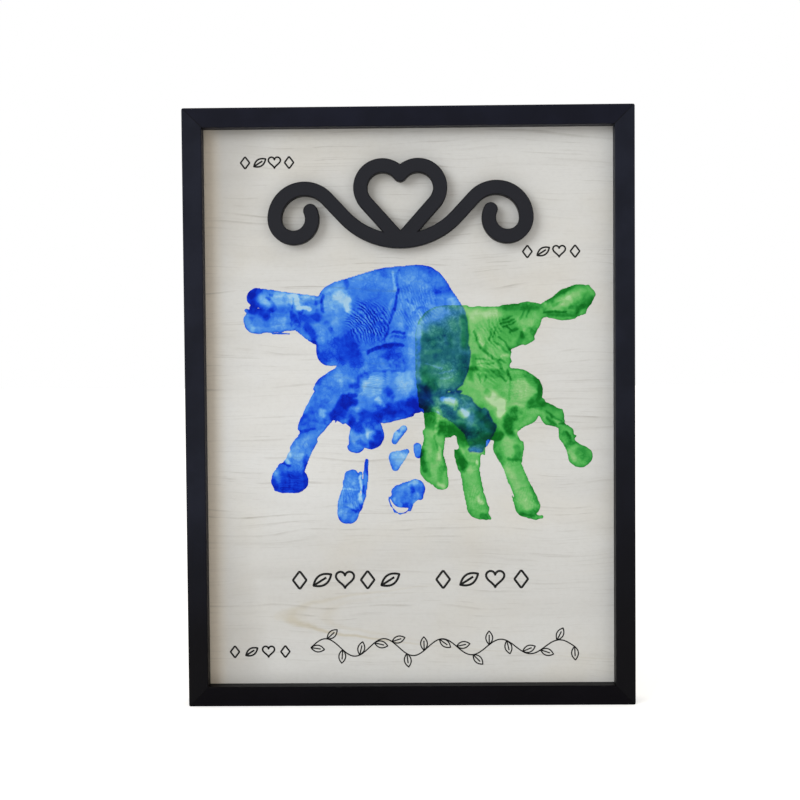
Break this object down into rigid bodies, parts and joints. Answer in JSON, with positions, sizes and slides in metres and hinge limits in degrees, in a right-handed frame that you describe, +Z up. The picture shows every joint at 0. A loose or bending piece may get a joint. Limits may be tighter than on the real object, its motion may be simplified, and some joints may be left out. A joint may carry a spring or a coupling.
{
  "type": "handprint keepsake frame",
  "caption": "Wall-hung rectangular keepsake frame: narrow mitred black rails, recessed plywood panel with painted handprints and a raised scroll ornament, sawtooth hanger on the back.",
  "frame": {"origin": "middle of the bottom rail's underside, half-way through the frame's depth", "axes": "+X to the viewer's right, +Y from the front to the back, +Z up along the frame's height"},
  "size_m": [0.2286, 0.021, 0.3048],
  "materials": {
    "black_painted_wood": "satin black paint",
    "black_painted_board": "matt black paint",
    "whitewashed_plywood": "whitewashed, matt",
    "blue_paint": "dried acrylic paint",
    "green_paint": "dried acrylic paint",
    "bright_steel": "bright",
    "zinc_steel": "zinc plated",
    "bumper_rubber": "soft translucent"
  },
  "bodies": {
    "root": {"top_rail": "black_painted_wood", "bottom_rail": "black_painted_wood", "left_rail": "black_painted_wood", "right_rail": "black_painted_wood", "corner_v_nails": "bright_steel", "panel": "whitewashed_plywood", "panel_points": "bright_steel", "raised_ornament": "black_painted_board", "blue_handprint": "blue_paint", "green_handprint": "green_paint", "sawtooth_hanger": "zinc_steel", "hanger_nails": "zinc_steel", "left_bumper": "bumper_rubber", "right_bumper": "bumper_rubber"}
  },
  "joints": []
}
